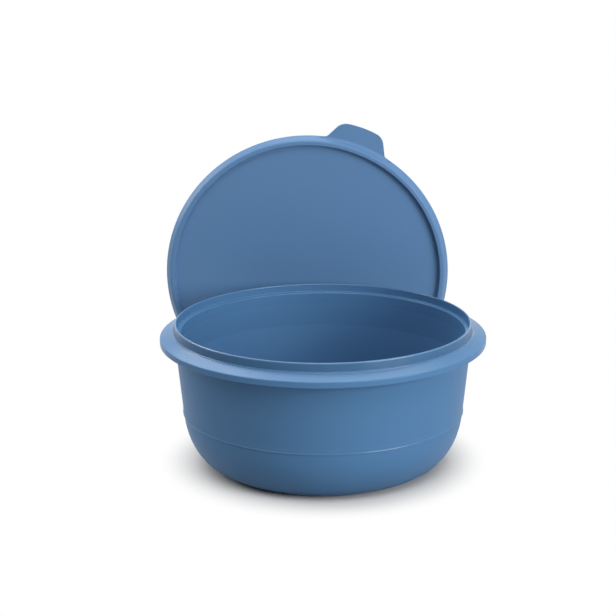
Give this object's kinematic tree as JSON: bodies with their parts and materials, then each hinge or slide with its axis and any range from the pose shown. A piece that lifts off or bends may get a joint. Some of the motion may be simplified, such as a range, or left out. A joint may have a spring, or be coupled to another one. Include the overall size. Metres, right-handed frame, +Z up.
{
  "type": "lidded mixing bowl",
  "caption": "Round moulded plastic bowl with a hollow lifting flange and an upright collar, and its press-on lid with a sunk panel and lift tab standing behind it.",
  "frame": {"origin": "centre of the bowl's flat base, on the surface that the bowl stands on", "axes": "+Z up along the bowl's axis; the lid stands on the +Y side of the bowl, so the front of the bowl faces -Y; +X to the right seen from the front"},
  "size_m": [0.2547, 0.2578, 0.2451],
  "materials": {
    "bowl_plastic": "satin",
    "lid_plastic": "satin"
  },
  "bodies": {
    "bowl": {"bowl": "bowl_plastic"},
    "lid": {"lid": "lid_plastic"}
  },
  "joints": [
    {"name": "lid_lift", "type": "slide", "parent": "bowl", "child": "lid", "axis": [0, 0, 1], "range_m": [0, 0.15]}
  ]
}
